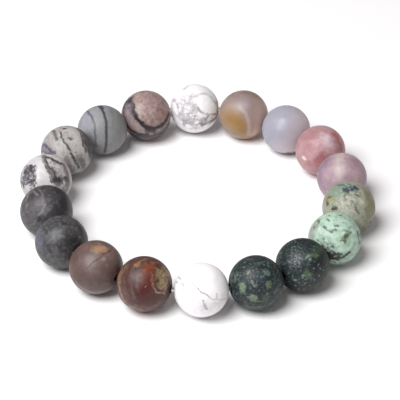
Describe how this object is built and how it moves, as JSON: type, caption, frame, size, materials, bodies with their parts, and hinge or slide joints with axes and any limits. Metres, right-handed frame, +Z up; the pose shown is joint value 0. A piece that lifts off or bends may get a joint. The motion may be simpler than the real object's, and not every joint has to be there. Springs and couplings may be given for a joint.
{
  "type": "beaded stretch bracelet",
  "caption": "Closed bracelet of round, matt natural-stone beads in mixed colours, strung side by side on one loop of clear elastic.",
  "frame": {"origin": "middle of the bracelet's box, on the surface that its beads rest on", "axes": "+Z up, along the way the wrist goes through; -Y towards the bead that is nearest in the picture"},
  "size_m": [0.0682, 0.0688, 0.0102],
  "materials": {
    "white_howlite": "matt white with a web of fine grey veins",
    "amber_agate": "matt translucent brown-grey with an amber patch and a pale arc",
    "grey_agate": "matt translucent lavender grey with faint clouding",
    "rose_agate": "matt translucent rose with deeper pink mottling",
    "lilac_agate": "matt translucent lilac with a pale streak",
    "olive_turquoise": "matt olive and beige with dark matrix",
    "mint_turquoise": "matt mint green with brown and black matrix",
    "green_jasper": "matt green-black with pale sage speckles",
    "red_jasper": "matt brown with red, orange and olive patches",
    "brown_jasper": "matt mauve-brown with ochre bands",
    "charcoal_marble": "matt charcoal with pale swirls and scratches",
    "dendrite_marble": "matt off-white with black branching inclusions",
    "streaked_marble": "matt warm grey with dark streaks",
    "banded_marble": "matt blue-grey with dark curved bands",
    "mauve_marble": "matt pinkish brown with a near-black looped band",
    "clear_elastic": "clear, smooth stretch cord"
  },
  "bodies": {
    "root": {"bead_01_howlite": "white_howlite", "bead_02_amber_agate": "amber_agate", "bead_03_grey_agate": "grey_agate", "bead_04_rose_agate": "rose_agate", "bead_05_lilac_agate": "lilac_agate", "bead_06_olive_turquoise": "olive_turquoise", "bead_07_mint_turquoise": "mint_turquoise", "bead_08_speckled_jasper": "green_jasper", "bead_09_mottled_jasper": "green_jasper", "bead_10_howlite": "white_howlite", "bead_11_red_jasper": "red_jasper", "bead_12_brown_jasper": "brown_jasper", "bead_13_charcoal_marble": "charcoal_marble", "bead_14_charcoal_marble": "charcoal_marble", "bead_15_dendrite_marble": "dendrite_marble", "bead_16_streaked_marble": "streaked_marble", "bead_17_banded_marble": "banded_marble", "bead_18_mauve_marble": "mauve_marble", "elastic_cord": "clear_elastic"}
  },
  "joints": []
}
